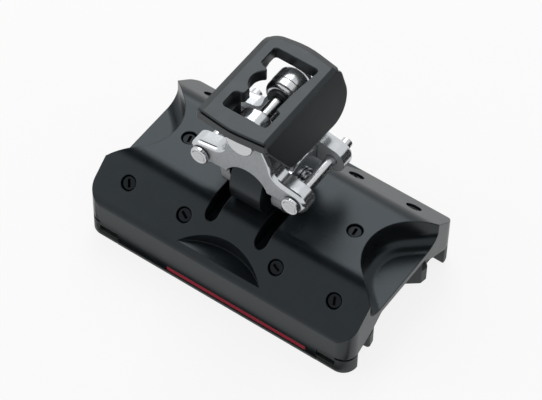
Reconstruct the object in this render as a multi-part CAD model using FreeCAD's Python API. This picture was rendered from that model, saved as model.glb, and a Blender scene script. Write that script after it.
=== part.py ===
import FreeCAD
import Part
import math
import os
from FreeCAD import Vector

# Track car with a tilting toggle, in millimetres.
# X runs along the track, Y across it, Z is up. The origin is the centre of the resting plane.

# Body, seen along the track: flat top, rounded shoulders, sloping flanks, upright sides.
body_length = 220.0
body_width = 131.2
body_height = 63.5
side_height = 36.7          # where a flank and its side would meet if the edge were sharp
flank_angle = 40.0          # slope of the flanks, in degrees
shoulder_radius = 22.0
flank_edge_radius = 9.0
corner_radius = 11.0        # the four upright corners, seen from above
edge_break = 0.8            # small bevel on machined edges

# Channel that the track runs in.
channel_width = 57.0
channel_height = 33.4
channel_corner = 3.0

# Open pocket in each end of the body.
pocket_length = 29.1
pocket_radius = 35.2
pocket_flare = 42.0         # angle of the straight walls to the track, in degrees
pocket_floor = 38.5         # height of the floor above the resting plane
pocket_fillet = 10.0

# Lens-shaped grip cut into each flank.
grip_radius = 52.0
grip_reach = 16.6           # how far the cut goes in from the side
grip_floor = 39.5

# Two slots across the top, where the toggle's legs dip in.
slot_spacing = 41.0
slot_width = 10.0
slot_length = 90.0
slot_floor = 46.0

# Drum that carries the toggle's axle.
drum_radius = 31.5
drum_width = 25.0
drum_height = 84.5          # axle height above the resting plane
drum_root = 5.0             # from the channel's roof to the foot of the drum
axle_radius = 8.0
axle_head_radius = 11.0
axle_head = 2.5
clip_radius = 10.5
clip_thickness = 1.6
clip_groove = 1.0
clip_mouth = 3.0            # half the width of the clip's opening
axle_play = 0.4             # between a leg and the axle's head or clip
axle_tip = 1.5
lock_screw_radius = 3.0
lock_screw_length = 12.0
lock_key_radius = 1.6
lock_key_depth = 3.0

# Balls, in one row each side of the track.
ball_radius = 4.75
ball_gap = 0.15             # space between one ball and the next
ball_clearance = 0.12       # between a ball and its race
ball_row_y = 26.4
ball_row_z = 7.2
return_y = 45.0             # return tunnel
rail_thickness = 5.7        # how far the rails stand into the channel
rail_height = 3.6
rail_over = 1.5             # top of the upper rail above the balls
rail_under = 1.2            # foot of the lower rail below the balls

# Moulded end caps, one at each corner of the underside.
cap_length = 26.0
cap_height = 13.9
cap_lift = 0.8              # space below a cap, clear of the surface
cap_round = 2.0
cap_recess_length = 15.0
cap_recess_height = 5.0
cap_recess_depth = 5.0
cap_recess_roof = 2.2       # cap left above the recess
cap_screw_radius = 2.5
cap_screw_head = 4.4
cap_screw_head_height = 2.4
cap_screw_length = 20.8
cap_screw_sunk = 0.2        # head below the underside of its cap
cap_screw_back = 9.0        # from the end of the body
cap_screw_inset = 7.7       # from the side of the body

# Roof over the end caps, seen from the end: high at the channel and low at the side.
roof_high = 31.9
roof_knee_in = 7.5          # from the channel's wall
roof_knee = 25.2
roof_foot_in = 7.1          # from the side
roof_radius = 8.0
under_bevel = 2.2           # bevel on the lower edge of each corner
under_bevel_x = 11.0        # where it starts, from the end
under_bevel_y = 10.6        # where it stops, from the side

# Foot of each cap beside the track, with a gap between it and the outer corner.
lip_in = 1.5                # lip in the channel, from its wall
lip_top = 30.5
lip_shelf = 18.0            # height of the shelf below the lip
lead_back = 11.7            # slanting way in for the track, from the end
foot_in = 6.7               # foot from the inner face of the cap
foot_out = 13.7
foot_top = 17.5
foot_bevel = 4.0
foot_back = 3.2             # foot from the end, at its inner corner
foot_nose = 2.0
gap_depth = 9.0             # gap between the foot and the corner, from the end
gap_in = 12.4               # outer wall of the gap, from the side

# Slotted screws in the flanks and on the middle line.
screw_recess_radius = 5.85
screw_head_radius = 5.3
screw_depth = 1.3           # head face below the surface
screw_head_height = 4.0
screw_shank_radius = 3.0
screw_shank_length = 14.0
screw_bevel = 0.4
screw_slot_width = 1.7
screw_slot_depth = 1.4
flank_screw_inset = 17.0    # from a side to the middle of its screws
flank_screw_outer_x = 85.4
flank_screw_inner_x = 38.2
centre_screw_x = 68.9

# Coloured line let into one side.
stripe_start = -41.0
stripe_length = 116.0
stripe_height = 3.6
stripe_middle = 6.7
stripe_depth = 0.4

# Toggle casting: two plates with arms, two legs and a web over the drum.
plate_outer = 29.3          # half the width over the plates
plate_thickness = 12.4
plate_bevel = 2.3
leg_play = 0.3              # between a leg and the walls of its slot
lobe_radius = 24.0          # round foot of a leg about the axle
drum_gap = 0.8              # between the drum and the web that rides over it
arch_radius = 17.3
arch_height = 26.5          # centre of the arch above the body's top
edge_height = 29.2          # lower edge of the plates above the body's top
arm_span = 37.0             # clevis pin from the middle
arm_height = 35.8           # clevis pin above the body's top
ear_radius = 10.0
ear_root = 9.0              # from the pin to where the lower edge turns down round it
ear_root_radius = 4.0
neck_half_width = 21.2      # hollow between an arm and its cheek
neck_height = 48.6
neck_radius = 10.0
hip_half_width = 18.6
hip_height = 60.5
hip_radius = 12.0
cheek_radius = 13.2
cheek_foot = 9.3            # where the cheek's sides turn upright, below the main pin
cheek_foot_radius = 6.0
main_pin_height = 81.0      # main pin above the body's top
web_half_width = 19.5
web_top = 60.0
web_shoulder = 8.0
web_radius = 6.0
leg_foot = 6.1              # leg's corner at a plate, above the plate's lower edge
leg_top = 42.5
leg_inset = 4.0             # from the plate's outer face

# Bushes in the legs.
bush_wall = 2.0
bush_play = 0.3             # between a bush and the drum
bush_flange_radius = 15.0
running_fit = 0.05          # radial clearance of a turning pin

# Clevis pins, with a washer under the head and a split ring through the tip.
clevis_radius = 4.0
clevis_head_radius = 6.8
clevis_head = 3.0
clevis_bevel = 0.7
clevis_washer = 1.0
clevis_washer_radius = 5.6
clevis_tip = 7.3            # how far the tip stands out of the far plate
ring_radius = 5.5
ring_wire = 0.8
ring_hole_clearance = 0.4
ring_hole_inset = 4.6       # cross hole, back from the tip

# Main pin, with washers, spacers and a nut.
main_radius = 4.9
main_head_radius = 10.5
main_head = 5.6
main_bevel = 1.0
main_washer = 4.0
main_washer_radius = 9.6
spacer_far = 9.0            # bell on the far plate
spacer_far_radius = 13.0
spacer_far_tip = 9.0
spacer_near = 4.0
spacer_near_radius = 10.5
spacer_near_tip = 8.0
spacer_washer = 2.0
spacer_washer_radius = 8.6
nut_radius = 8.0
nut_height = 5.5
nut_bevel = 1.6
main_tip = 2.5

# Moulded boot round the head of the toggle.
boot_half_width = 28.0
boot_shift = -1.4           # middle of the boot from the pin's middle, along the track
boot_near = 48.0            # bowed near end, from the middle
boot_near_bow = 3.0
boot_far = 41.5
boot_far_bow = 5.0
boot_bow_radius = 60.0
boot_far_corner = 9.0
boot_top = 104.0            # top face above the body's top
boot_plate = 9.4
boot_bevel = 2.8
groove_top = 1.2            # groove round the near end, below the top face
groove_height = 1.8
groove_depth = 1.5
groove_half_width = 26.0

# Window in the boot: a pocket over each cheek, narrower between them, with a round notch.
window_half_width = 17.3
window_near = 32.9
window_far = 27.3
window_step_near = 17.6     # where the near pocket ends, from the middle
window_step_far = 10.0
window_right = 13.6
window_left = 10.6
window_radius = 2.5
window_step_radius = 1.5
notch_radius = 11.3
notch_x = -4.1
notch_y = -2.4

# Flaps of the boot, each leaning out towards its foot.
flap_thickness = 5.0
flap_angle = 9.9
flap_near_top = 44.3
flap_near_knee = 97.0       # where the near edge turns, above the body's top
flap_near_knee_radius = 3.0
flap_near_foot = 24.3
flap_near_height = 63.4
flap_near_radius = 10.0
flap_far_top = 40.2
flap_far_top_radius = 8.0
flap_far_foot = 47.0
flap_far_height = 59.3
flap_far_radius = 19.0
pad_drop = 0.5              # foot of a pad below the main pin's axis
pad_inset = 2.0             # a pad's outer face from the side of the boot
soft_gap = 0.3

half_length = body_length / 2
half_width = body_width / 2
top = body_height
slope = math.radians(flank_angle)
channel_wall = channel_width / 2
plate_inner = plate_outer - plate_thickness
flank_screw_y = half_width - flank_screw_inset
slot_middle = slot_spacing / 2
leg_thickness = slot_width - 2 * leg_play
leg_inner = slot_middle - leg_thickness / 2
leg_outer = slot_middle + leg_thickness / 2
cap_start = half_length - cap_length
cap_inner = channel_wall - rail_thickness
edge_z = top + edge_height
main_z = top + main_pin_height
arm_z = top + arm_height
race_radius = ball_radius + ball_clearance


def flank_z(y):
    """Height of the flat part of a flank at a distance y from the middle."""
    return side_height + (half_width - abs(y)) * math.tan(slope)


def outline(points):
    """Closed wire through points (position, corner radius), with tangent arcs at the corners."""
    count = len(points)
    starts = []
    ends = []
    middles = []
    for i in range(count):
        here, radius = points[i]
        before = (points[i - 1][0] - here).normalize()
        after = (points[(i + 1) % count][0] - here).normalize()
        if radius <= 0:
            starts.append(here)
            ends.append(here)
            middles.append(None)
            continue
        half_turn = before.getAngle(after) / 2
        reach = radius / math.tan(half_turn)
        bisector = (before + after).normalize()
        starts.append(here + before * reach)
        ends.append(here + after * reach)
        middles.append(here + bisector * (radius / math.sin(half_turn) - radius))
    edges = []
    for i in range(count):
        if middles[i] is not None:
            edges.append(Part.Arc(starts[i], middles[i], ends[i]).toShape())
        following = starts[(i + 1) % count]
        if ends[i].distanceToPoint(following) > 1e-6:
            edges.append(Part.LineSegment(ends[i], following).toShape())
    return Part.Wire(edges)


def slab(points, depth):
    """Solid from a rounded outline, pushed along the vector depth."""
    return Part.Face(outline(points)).extrude(depth)


def rod(radius, length, start, direction):
    """Round bar."""
    return Part.makeCylinder(radius, length, start, direction)


def box(x0, x1, y0, y1, z0, z1):
    """Block between two corners."""
    return Part.makeBox(x1 - x0, y1 - y0, z1 - z0, Vector(x0, y0, z0))


def turned(profile, start, direction):
    """Solid of revolution from (distance, radius) pairs along a direction."""
    points = [Vector(radius, 0, distance) for distance, radius in profile]
    points.append(points[0])
    solid = Part.Face(Part.makePolygon(points)).revolve(Vector(0, 0, 0), Vector(0, 0, 1), 360)
    solid.Placement = FreeCAD.Placement(start, FreeCAD.Rotation(Vector(0, 0, 1), direction))
    return solid


def hexagon(radius):
    """Six-sided closed wire about the origin, with a corner on the X axis."""
    angles = [math.radians(60 * i) for i in range(7)]
    return Part.makePolygon([Vector(radius * math.cos(a), radius * math.sin(a), 0) for a in angles])


def mirrored(shape, normal):
    """Copy on the other side of the plane through the origin."""
    return shape.mirror(Vector(0, 0, 0), normal)


ALONG = Vector(1, 0, 0)
ACROSS = Vector(0, 1, 0)
UP = Vector(0, 0, 1)


def roof_slab(start, inner, outer, low):
    """Room under the slanting roof at a corner of the body, from start to past its end."""
    rise = (roof_high - roof_knee) / roof_knee_in
    points = [
        (Vector(start, inner, low), 0),
        (Vector(start, inner, roof_high + (channel_wall - inner) * rise), 0),
        (Vector(start, channel_wall + roof_knee_in, roof_knee), roof_radius),
        (Vector(start, half_width - roof_foot_in, cap_height), roof_radius),
        (Vector(start, outer, cap_height), 0),
        (Vector(start, outer, low), 0),
    ]
    return slab(points, ALONG * (half_length + 1 - start))


def four_corners(shape):
    """Copies of a shape at the four corners of the body."""
    pair = [shape, mirrored(shape, ALONG)]
    return pair + [mirrored(copy, ACROSS) for copy in pair]


def make_body():
    """Machined body: section along the track, then the corners, pockets, slots and races."""
    section = [
        (Vector(-half_length, half_width, 0), edge_break),
        (Vector(-half_length, half_width, side_height), flank_edge_radius),
        (Vector(-half_length, half_width - (top - side_height) / math.tan(slope), top), shoulder_radius),
        (Vector(-half_length, -half_width + (top - side_height) / math.tan(slope), top), shoulder_radius),
        (Vector(-half_length, -half_width, side_height), flank_edge_radius),
        (Vector(-half_length, -half_width, 0), edge_break),
        (Vector(-half_length, -channel_wall, 0), edge_break),
        (Vector(-half_length, -channel_wall, channel_height), channel_corner),
        (Vector(-half_length, channel_wall, channel_height), channel_corner),
        (Vector(-half_length, channel_wall, 0), edge_break),
    ]
    body = slab(section, ALONG * body_length)
    plan = [
        (Vector(half_length, half_width, 0), corner_radius),
        (Vector(-half_length, half_width, 0), corner_radius),
        (Vector(-half_length, -half_width, 0), corner_radius),
        (Vector(half_length, -half_width, 0), corner_radius),
    ]
    body = body.common(slab(plan, UP * (top + 1)))

    for side in (-1, 1):
        grip = rod(grip_radius, top, Vector(0, side * (half_width - grip_reach + grip_radius), grip_floor), UP)
        body = body.cut(grip)

    body = body.cut(make_pocket_tool(1)).cut(make_pocket_tool(-1))

    body = body.cut(rod(bush_flange_radius + leg_play, 2 * leg_inner, Vector(-leg_inner, 0, drum_height), ALONG))
    drum = rod(drum_radius, drum_width, Vector(-drum_width / 2, 0, drum_height), ALONG)
    drum = drum.common(box(-drum_width, drum_width, -half_width, half_width, channel_height + drum_root,
                           drum_height + drum_radius + 1))
    body = body.fuse(drum)
    body = body.cut(rod(axle_radius, drum_width, Vector(-drum_width / 2, 0, drum_height), ALONG))
    lock_bore = rod(lock_screw_radius, drum_radius + 1, Vector(0, 0, drum_height), UP)
    body = body.cut(lock_bore)

    for side in (-1, 1):
        body = body.cut(make_slot_tool(side * slot_middle))
        for y in (ball_row_y, return_y):
            body = body.cut(rod(race_radius, body_length, Vector(-half_length, side * y, ball_row_z), ALONG))

    for corner in four_corners(roof_slab(cap_start, channel_wall - 1, half_width + 1, -1)):
        body = body.cut(corner)
    body = body.cut(make_under_bevel(plan))

    for x, y, tilt in screw_places():
        body = body.cut(make_screw_bore(x, y, tilt))
    for x, y in cap_screw_places():
        body = body.cut(rod(cap_screw_radius, cap_lift + cap_screw_length + 1, Vector(x, y, 0), UP))
    body = body.cut(make_stripe())
    return body.removeSplitter()


def make_under_bevel(plan):
    """Cutter for the bevel on the lower edge of the four corners."""
    points = [(Vector(p.x, p.y, cap_height), radius) for p, radius in plan]
    block = slab(points, UP * 3 * under_bevel)
    lower = [edge for edge in block.Edges if edge.BoundBox.ZMax < cap_height + 0.01]
    rim = block.cut(block.makeChamfer(under_bevel, lower))
    x = half_length - under_bevel_x
    y = half_width - under_bevel_y
    rim = rim.cut(box(-x, x, -body_width, body_width, 0, top))
    return rim.cut(box(-body_length, body_length, -y, y, 0, top))


def make_pocket_tool(end):
    """Cutter for an end pocket: round at the back, flaring to the end of the body."""
    apex = half_length - pocket_length
    centre = apex + pocket_radius
    touch = math.radians(90 - pocket_flare)
    touch_x = centre - pocket_radius * math.cos(touch)
    touch_y = pocket_radius * math.sin(touch)
    past = half_length + 2 * pocket_fillet
    past_y = touch_y + (past - touch_x) * math.tan(math.radians(pocket_flare))
    back = Part.Arc(Vector(touch_x, -touch_y, pocket_floor), Vector(apex, 0, pocket_floor),
                    Vector(touch_x, touch_y, pocket_floor)).toShape()
    walls = Part.makePolygon([Vector(touch_x, touch_y, pocket_floor), Vector(past, past_y, pocket_floor),
                              Vector(past, -past_y, pocket_floor), Vector(touch_x, -touch_y, pocket_floor)])
    tool = Part.Face(Part.Wire([back] + walls.Edges)).extrude(UP * (top - pocket_floor + 1))
    floor_edges = [edge for edge in tool.Edges
                   if edge.BoundBox.ZMax < pocket_floor + 0.01 and edge.BoundBox.XMin < half_length]
    tool = tool.makeFillet(pocket_fillet, floor_edges)
    if end < 0:
        tool = mirrored(tool, ALONG)
    return tool


def make_slot_tool(x):
    """Cutter for one slot across the top, with round ends."""
    reach = slot_length / 2
    radius = slot_width / 2 - 0.01
    points = [
        (Vector(x - slot_width / 2, -reach, slot_floor), radius),
        (Vector(x + slot_width / 2, -reach, slot_floor), radius),
        (Vector(x + slot_width / 2, reach, slot_floor), radius),
        (Vector(x - slot_width / 2, reach, slot_floor), radius),
    ]
    return slab(points, UP * (top - slot_floor + 1))


def screw_places():
    """Place and lean of every slotted screw: x, y and the lean of its axis about the track."""
    places = []
    for x in (-flank_screw_outer_x, -flank_screw_inner_x, flank_screw_inner_x, flank_screw_outer_x):
        places.append((x, -flank_screw_y, slope))
        places.append((x, flank_screw_y, -slope))
    for x in (-centre_screw_x, centre_screw_x):
        places.append((x, 0.0, 0.0))
    return places


def screw_axis(x, y, tilt):
    """Point on the surface and outward direction of a screw."""
    height = top if tilt == 0 else flank_z(y)
    return Vector(x, y, height), Vector(0, -math.sin(tilt), math.cos(tilt))


def make_screw_bore(x, y, tilt):
    """Recess and bore for a slotted screw."""
    surface, outward = screw_axis(x, y, tilt)
    depth = screw_depth + screw_head_height
    bore = rod(screw_recess_radius, 2 * depth, surface - outward * depth, outward)
    foot = surface - outward * (depth + screw_shank_length)
    shank = rod(screw_shank_radius, screw_shank_length, foot, outward)
    return bore.fuse(shank)


def make_screw(x, y, tilt):
    """Slotted screw seated in its recess."""
    surface, outward = screw_axis(x, y, tilt)
    profile = [
        (0, 0), (0, screw_shank_radius), (screw_shank_length, screw_shank_radius),
        (screw_shank_length, screw_head_radius),
        (screw_shank_length + screw_head_height - screw_bevel, screw_head_radius),
        (screw_shank_length + screw_head_height, screw_head_radius - screw_bevel),
        (screw_shank_length + screw_head_height, 0),
    ]
    start = surface - outward * (screw_depth + screw_head_height + screw_shank_length)
    screw = turned(profile, start, outward)
    face = surface - outward * screw_depth
    cut = Part.makeBox(screw_slot_width, 4 * screw_head_radius, 2 * screw_slot_depth,
                       Vector(-screw_slot_width / 2, -2 * screw_head_radius, -screw_slot_depth))
    cut.Placement = FreeCAD.Placement(face, FreeCAD.Rotation(UP, outward))
    return screw.cut(cut)


def make_stripe():
    """Coloured line, flush in the side that faces -Y."""
    return box(stripe_start, stripe_start + stripe_length, -half_width, -half_width + stripe_depth,
               stripe_middle - stripe_height / 2, stripe_middle + stripe_height / 2)


def cap_screw_places():
    """Centres of the screws that hold the end caps."""
    x = half_length - cap_screw_back
    y = half_width - cap_screw_inset
    return [(sx * x, sy * y) for sx in (-1, 1) for sy in (-1, 1)]


def make_cap(end, side):
    """End cap that turns the balls from the load race into the return tunnel."""
    gap_x = half_length - gap_depth
    foot_y = cap_inner + foot_out
    points = [
        (Vector(cap_start, cap_inner, cap_lift), edge_break),
        (Vector(half_length - lead_back, cap_inner, cap_lift), cap_round),
        (Vector(half_length - foot_back, cap_inner + foot_in, cap_lift), cap_round),
        (Vector(half_length - foot_nose, foot_y, cap_lift), cap_round),
        (Vector(gap_x, foot_y + edge_break, cap_lift), edge_break),
        (Vector(gap_x, half_width - gap_in, cap_lift), edge_break),
        (Vector(half_length, half_width - gap_in, cap_lift), edge_break),
        (Vector(half_length, half_width, cap_lift), corner_radius),
        (Vector(cap_start, half_width, cap_lift), edge_break),
    ]
    cap = slab(points, UP * (roof_high - cap_lift))
    wall = channel_wall - lip_in
    lip = box(cap_start, half_length, wall, channel_wall, lip_shelf, lip_top)
    shelf = slab([
        (Vector(cap_start, cap_inner, 0), 0),
        (Vector(cap_start, cap_inner, lip_shelf - rail_thickness + lip_in), 0),
        (Vector(cap_start, wall, lip_shelf), 0),
        (Vector(cap_start, channel_wall, lip_shelf), 0),
        (Vector(cap_start, channel_wall, 0), 0),
    ], ALONG * cap_length)
    cap = cap.common(roof_slab(cap_start, channel_wall, half_width, 0).fuse([lip, shelf]))

    turn = (return_y - ball_row_y) / 2
    ring = Part.makeTorus(turn, race_radius, Vector(cap_start, ball_row_y + turn, ball_row_z), UP)
    ring = ring.common(box(cap_start, half_length, 0, half_width, 0, cap_height))
    cap = cap.cut(ring)
    recess_top = cap_height - cap_recess_roof
    cap = cap.cut(box(cap_start, cap_start + cap_recess_length, half_width - cap_recess_depth, half_width + 1,
                      recess_top - cap_recess_height, recess_top))
    over_foot = [
        (Vector(gap_x, cap_inner + foot_in, roof_high), 0),
        (Vector(gap_x, cap_inner + foot_in, foot_top), 0),
        (Vector(half_length - foot_nose - foot_bevel, cap_inner + foot_in, foot_top), 0),
        (Vector(half_length - foot_nose, cap_inner + foot_in, foot_top - foot_bevel), 0),
        (Vector(half_length, cap_inner + foot_in, foot_top - foot_bevel), 0),
        (Vector(half_length, cap_inner + foot_in, roof_high), 0),
    ]
    cap = cap.cut(slab(over_foot, ACROSS * (foot_out - foot_in + edge_break)))
    x, y = cap_screw_places()[-1]
    cap = cap.cut(rod(cap_screw_radius, roof_high, Vector(x, y, 0), UP))
    cap = cap.cut(rod(cap_screw_head, cap_lift + cap_screw_sunk + cap_screw_head_height, Vector(x, y, 0), UP))
    if end < 0:
        cap = mirrored(cap, ALONG)
    if side < 0:
        cap = mirrored(cap, ACROSS)
    return cap


def make_cap_screws():
    """Screws that hold the end caps, from below."""
    screws = []
    for x, y in cap_screw_places():
        profile = [
            (0, 0), (0, cap_screw_head - edge_break / 2), (edge_break / 2, cap_screw_head),
            (cap_screw_head_height, cap_screw_head), (cap_screw_head_height, cap_screw_radius),
            (cap_screw_length, cap_screw_radius), (cap_screw_length, 0),
        ]
        screws.append(turned(profile, Vector(x, y, cap_lift + cap_screw_sunk), UP))
    return Part.makeCompound(screws)


def make_balls(side):
    """Row of balls in the load race."""
    pitch = 2 * ball_radius + ball_gap
    room = 2 * cap_start - 2 * ball_radius
    count = int(room / pitch) + 1
    first = -pitch * (count - 1) / 2
    balls = [Part.makeSphere(ball_radius, Vector(first + pitch * i, side * ball_row_y, ball_row_z))
             for i in range(count)]
    return Part.makeCompound(balls)


def make_rail(side, upper):
    """Thin rail that keeps the balls in their race when the car is off its track."""
    if upper:
        low = ball_row_z + ball_radius + rail_over - rail_height
    else:
        low = ball_row_z - ball_radius - rail_under
    rail = box(-cap_start, cap_start, cap_inner, channel_wall, low, low + rail_height)
    rail = rail.cut(rod(race_radius, body_length, Vector(-half_length, ball_row_y, ball_row_z), ALONG))
    if side < 0:
        rail = mirrored(rail, ACROSS)
    return rail


def make_axle():
    """Axle, fast in the drum, with a groove for its clip."""
    reach = leg_outer + axle_play
    clip_start = axle_head + 2 * reach
    clip_end = clip_start + clip_thickness
    profile = [
        (0, 0), (0, axle_head_radius - edge_break), (edge_break, axle_head_radius),
        (axle_head, axle_head_radius), (axle_head, axle_radius),
        (clip_start, axle_radius), (clip_start, axle_radius - clip_groove),
        (clip_end, axle_radius - clip_groove), (clip_end, axle_radius),
        (clip_end + axle_tip, axle_radius), (clip_end + axle_tip + edge_break, axle_radius - edge_break),
        (clip_end + axle_tip + edge_break, 0),
    ]
    return turned(profile, Vector(-reach - axle_head, 0, drum_height), ALONG)


def make_axle_clip():
    """Spring clip in the groove of the axle, open at the bottom."""
    start = Vector(leg_outer + axle_play, 0, drum_height)
    clip = rod(clip_radius, clip_thickness, start, ALONG)
    clip = clip.cut(rod(axle_radius - clip_groove, clip_thickness, start, ALONG))
    mouth = box(leg_outer, leg_outer + 2 * clip_thickness, -clip_mouth, clip_mouth,
                drum_height - 2 * clip_radius, drum_height)
    return clip.cut(mouth)


def make_lock_screw():
    """Screw down through the drum that holds the axle from turning."""
    base = Vector(0, 0, drum_height + axle_radius)
    screw = rod(lock_screw_radius, lock_screw_length, base, UP)
    key = Part.Face(hexagon(lock_key_radius)).extrude(UP * lock_key_depth)
    key.translate(base + UP * (lock_screw_length - lock_key_depth))
    return screw.cut(key)


def make_bush(end):
    """Flanged bush in a leg, turning on the axle."""
    inner = axle_radius + running_fit
    outer = axle_radius + bush_wall
    flange = leg_inner - drum_width / 2 - bush_play
    profile = [
        (0, inner), (0, bush_flange_radius), (flange, bush_flange_radius), (flange, outer),
        (flange + leg_thickness, outer), (flange + leg_thickness, inner),
    ]
    start = Vector(end * (drum_width / 2 + bush_play), 0, drum_height)
    return turned(profile, start, ALONG * end)


def tangent_slope(x, z, centre_x, centre_z, radius, turn):
    """Angle of the line from a point that just touches a circle, passing it on the given side."""
    distance = math.hypot(centre_x - x, centre_z - z)
    return math.atan2(centre_z - z, centre_x - x) + turn * math.asin(radius / distance)


def make_plate(side):
    """One plate with its arms and cheek, bevelled round the outer face."""
    y = side * plate_inner
    root_x = arm_span - ear_root
    neck_z = top + neck_height
    tip = arm_span + ear_radius
    under = tangent_slope(root_x, edge_z, arm_span, arm_z, ear_radius, -1)
    over = tangent_slope(neck_half_width, neck_z, arm_span, arm_z, ear_radius, 1)
    half = [
        (Vector(root_x, y, edge_z), ear_root_radius),
        (Vector(tip, y, edge_z + (tip - root_x) * math.tan(under)), ear_radius),
        (Vector(tip, y, neck_z + (tip - neck_half_width) * math.tan(over)), ear_radius),
        (Vector(neck_half_width, y, neck_z), neck_radius),
        (Vector(hip_half_width, y, top + hip_height), hip_radius),
        (Vector(cheek_radius, y, main_z - cheek_foot), cheek_foot_radius),
        (Vector(cheek_radius, y, main_z + cheek_radius), cheek_radius),
    ]
    other = [(Vector(-p.x, y, p.z), r) for p, r in reversed(half)]
    blank = bevel_rim(slab(half + other, ACROSS * side * plate_thickness))
    arch = rod(arch_radius, plate_thickness, Vector(0, y, top + arch_height), ACROSS * side)
    return blank.cut(arch)


def bevel_rim(plate):
    """Bevel round the outer face of a plate."""
    rim = [edge for edge in plate.Edges
           if min(abs(edge.BoundBox.YMin), abs(edge.BoundBox.YMax)) > plate_outer - 0.01]
    return plate.makeChamfer(plate_bevel, rim)


def make_toggle():
    """Toggle casting: plates, legs and web in one piece, bored for its pins."""
    toggle = make_plate(-1).fuse(make_plate(1))
    reach = plate_outer - leg_inset
    for end in (-1, 1):
        x = leg_inner if end > 0 else -leg_outer
        points = [
            (Vector(x, -reach, edge_z + leg_foot), 0),
            (Vector(x, -lobe_radius, drum_height), 0),
            (Vector(x, lobe_radius, drum_height), 0),
            (Vector(x, reach, edge_z + leg_foot), 0),
            (Vector(x, reach, top + leg_top), 0),
            (Vector(x, -reach, top + leg_top), 0),
        ]
        leg = slab(points, ALONG * leg_thickness)
        leg = leg.fuse(rod(lobe_radius, leg_thickness, Vector(x, 0, drum_height), ALONG))
        toggle = toggle.fuse(leg)
    web = [
        (Vector(-web_half_width, -plate_inner, edge_z), 0),
        (Vector(web_half_width, -plate_inner, edge_z), 0),
        (Vector(web_half_width, -plate_inner, top + web_top - web_shoulder), web_radius),
        (Vector(web_half_width - web_radius, -plate_inner, top + web_top), web_radius),
        (Vector(web_radius - web_half_width, -plate_inner, top + web_top), web_radius),
        (Vector(-web_half_width, -plate_inner, top + web_top - web_shoulder), web_radius),
    ]
    toggle = toggle.fuse(slab(web, ACROSS * 2 * plate_inner))
    toggle = toggle.cut(rod(drum_radius + drum_gap, 2 * leg_inner, Vector(-leg_inner, 0, drum_height), ALONG))
    bush_bore = rod(axle_radius + bush_wall, 4 * leg_outer, Vector(-2 * leg_outer, 0, drum_height), ALONG)
    toggle = toggle.cut(bush_bore)
    for x, z, radius in ((-arm_span, arm_z, clevis_radius), (arm_span, arm_z, clevis_radius),
                         (0, main_z, main_radius)):
        bore = rod(radius + running_fit, 4 * plate_outer, Vector(x, -2 * plate_outer, z), ACROSS)
        toggle = toggle.cut(bore)
    return toggle.removeSplitter()


def make_clevis_pin(x):
    """Clevis pin: head, rod and a cross hole near the tip."""
    head_y = -plate_outer - clevis_washer
    length = -head_y + plate_outer + clevis_tip
    profile = [
        (0, 0), (0, clevis_head_radius - clevis_bevel), (clevis_bevel, clevis_head_radius),
        (clevis_head, clevis_head_radius), (clevis_head, clevis_radius),
        (clevis_head + length - clevis_bevel, clevis_radius),
        (clevis_head + length, clevis_radius - clevis_bevel), (clevis_head + length, 0),
    ]
    pin = turned(profile, Vector(x, head_y - clevis_head, arm_z), ACROSS)
    hole_y = plate_outer + clevis_tip - ring_hole_inset
    hole_radius = ring_wire + ring_sag() / 2 + ring_hole_clearance
    hole = rod(hole_radius, 4 * clevis_radius, Vector(x - 2 * clevis_radius, hole_y, arm_z), ALONG)
    return pin.cut(hole)


def ring_sag():
    """How far the ring's wire curves down between the middle of the pin and its side."""
    return ring_radius - math.sqrt(ring_radius ** 2 - clevis_radius ** 2)


def make_clevis_washer(x):
    """Washer under the head of a clevis pin."""
    start = Vector(x, -plate_outer - clevis_washer, arm_z)
    washer = rod(clevis_washer_radius, clevis_washer, start, ACROSS)
    return washer.cut(rod(clevis_radius + running_fit, clevis_washer, start, ACROSS))


def make_ring(x):
    """Split ring hanging from the tip of a clevis pin."""
    hole_y = plate_outer + clevis_tip - ring_hole_inset
    centre = Vector(x, hole_y, arm_z - ring_radius + ring_sag() / 2)
    return Part.makeTorus(ring_radius, ring_wire, centre, ACROSS)


def make_main_pin():
    """Main pin that a block or shackle hangs on."""
    head_y = -plate_outer - main_washer
    length = -head_y + plate_outer + nut_height + main_tip
    profile = [
        (0, 0), (0, main_head_radius - main_bevel), (main_bevel, main_head_radius),
        (main_head, main_head_radius), (main_head, main_radius), (main_head + length - main_bevel, main_radius),
        (main_head + length, main_radius - main_bevel), (main_head + length, 0),
    ]
    return turned(profile, Vector(0, head_y - main_head, main_z), ACROSS)


def make_collar(radius, bore, start, length):
    """Plain ring on the main pin."""
    origin = Vector(0, start, main_z)
    return rod(radius, length, origin, ACROSS).cut(rod(bore, length, origin, ACROSS))


def make_bell(side, length, wide, narrow):
    """Round-shouldered spacer on the main pin, wide at its plate and narrow towards the middle."""
    section = [
        (Vector(main_radius, 0, 0), 0), (Vector(wide, 0, 0), 0), (Vector(wide, 0, length), wide - narrow),
        (Vector(narrow - edge_break, 0, length), 0), (Vector(main_radius, 0, length), 0),
    ]
    bell = Part.Face(outline(section)).revolve(Vector(0, 0, 0), UP, 360)
    start = Vector(0, side * plate_inner, main_z)
    bell.Placement = FreeCAD.Placement(start, FreeCAD.Rotation(UP, ACROSS * -side))
    return bell


def make_nut():
    """Six-sided nut on the far end of the main pin."""
    start = plate_outer + running_fit
    nut = Part.Face(hexagon(nut_radius)).extrude(UP * (nut_height - running_fit))
    nut.Placement = FreeCAD.Placement(Vector(0, start, main_z), FreeCAD.Rotation(ALONG, -90))
    profile = [(0, 0), (0, nut_radius + nut_bevel), (nut_height, nut_radius - nut_bevel / 2), (nut_height, 0)]
    cone = turned(profile, Vector(0, start, main_z), ACROSS)
    nut = nut.common(cone)
    return nut.cut(rod(main_radius, nut_height, Vector(0, start, main_z), ACROSS))


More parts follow.
